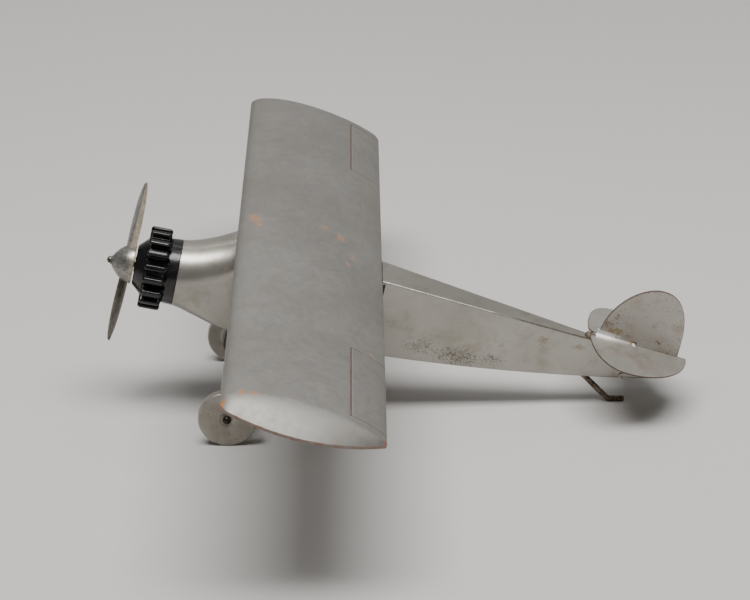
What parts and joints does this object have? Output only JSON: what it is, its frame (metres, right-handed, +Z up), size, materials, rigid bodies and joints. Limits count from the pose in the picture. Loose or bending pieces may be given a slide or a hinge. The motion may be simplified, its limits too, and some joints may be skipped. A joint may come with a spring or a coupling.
{
  "type": "toy airplane",
  "caption": "Pressed-metal toy monoplane with a high wing, radial engine, free-turning propeller and wheels, and a wire tail skid.",
  "frame": {"origin": "on the floor the toy stands on, under the middle of its bounding box", "axes": "+X forward to the nose, +Y to port along the wing, +Z up"},
  "size_m": [0.2298, 0.3136, 0.095],
  "materials": {
    "propeller": "worn grey and cream paint",
    "pin_steel": "dark oxidised steel",
    "washer_brass": "dull",
    "engine_black": "gloss black enamel",
    "block_wood": "plain turned wood",
    "nut_steel": "dull",
    "fuselage_metal": "satin, pitted and worn",
    "belly_metal": "satin, pitted",
    "bridge_metal": "dull",
    "wing_metal": "satin, rust at the edges",
    "wing_floor_metal": "dull, stained",
    "rivet_metal": "dull",
    "gear_steel": "dark oxidised steel",
    "axle_steel": "dark oxidised steel",
    "wheel_metal": "dull grey-brown, mottled",
    "tail_metal": "satin, brown edges",
    "solder": "dull solder, stained",
    "eyelet_metal": "dark, tarnished",
    "skid_steel": "brown, rusted"
  },
  "bodies": {
    "airframe": {"prop_pin": "pin_steel", "prop_washer": "washer_brass", "radial_engine": "engine_black", "nose_block": "block_wood", "pin_nut": "nut_steel", "fuselage_shell": "fuselage_metal", "belly_plate": "belly_metal", "front_bridge": "bridge_metal", "rear_bridge": "bridge_metal", "wing_skin": "wing_metal", "wing_floor": "wing_floor_metal", "wing_rivets": "rivet_metal", "gear_strap": "gear_steel", "gear_rivets": "rivet_metal", "axle": "axle_steel", "tail_port": "tail_metal", "tail_starboard": "tail_metal", "tail_solder": "solder", "tail_eyelet": "eyelet_metal", "skid_wire": "skid_steel"},
    "propeller": {"propeller": "propeller"},
    "wheel_port": {"wheel_port": "wheel_metal"},
    "wheel_starboard": {"wheel_starboard": "wheel_metal"}
  },
  "joints": [
    {"name": "propeller_spin", "type": "hinge", "parent": "airframe", "child": "propeller", "pos_m": [0.1046, 0, 0.06072], "axis": [0.9778, 0, 0.2096], "continuous": true},
    {"name": "wheel_port_spin", "type": "hinge", "parent": "airframe", "child": "wheel_port", "pos_m": [0.06774, 0, 0.0113], "axis": [0, 1, 0], "continuous": true},
    {"name": "wheel_starboard_spin", "type": "hinge", "parent": "airframe", "child": "wheel_starboard", "pos_m": [0.06774, 0, 0.0113], "axis": [0, 1, 0], "continuous": true}
  ]
}
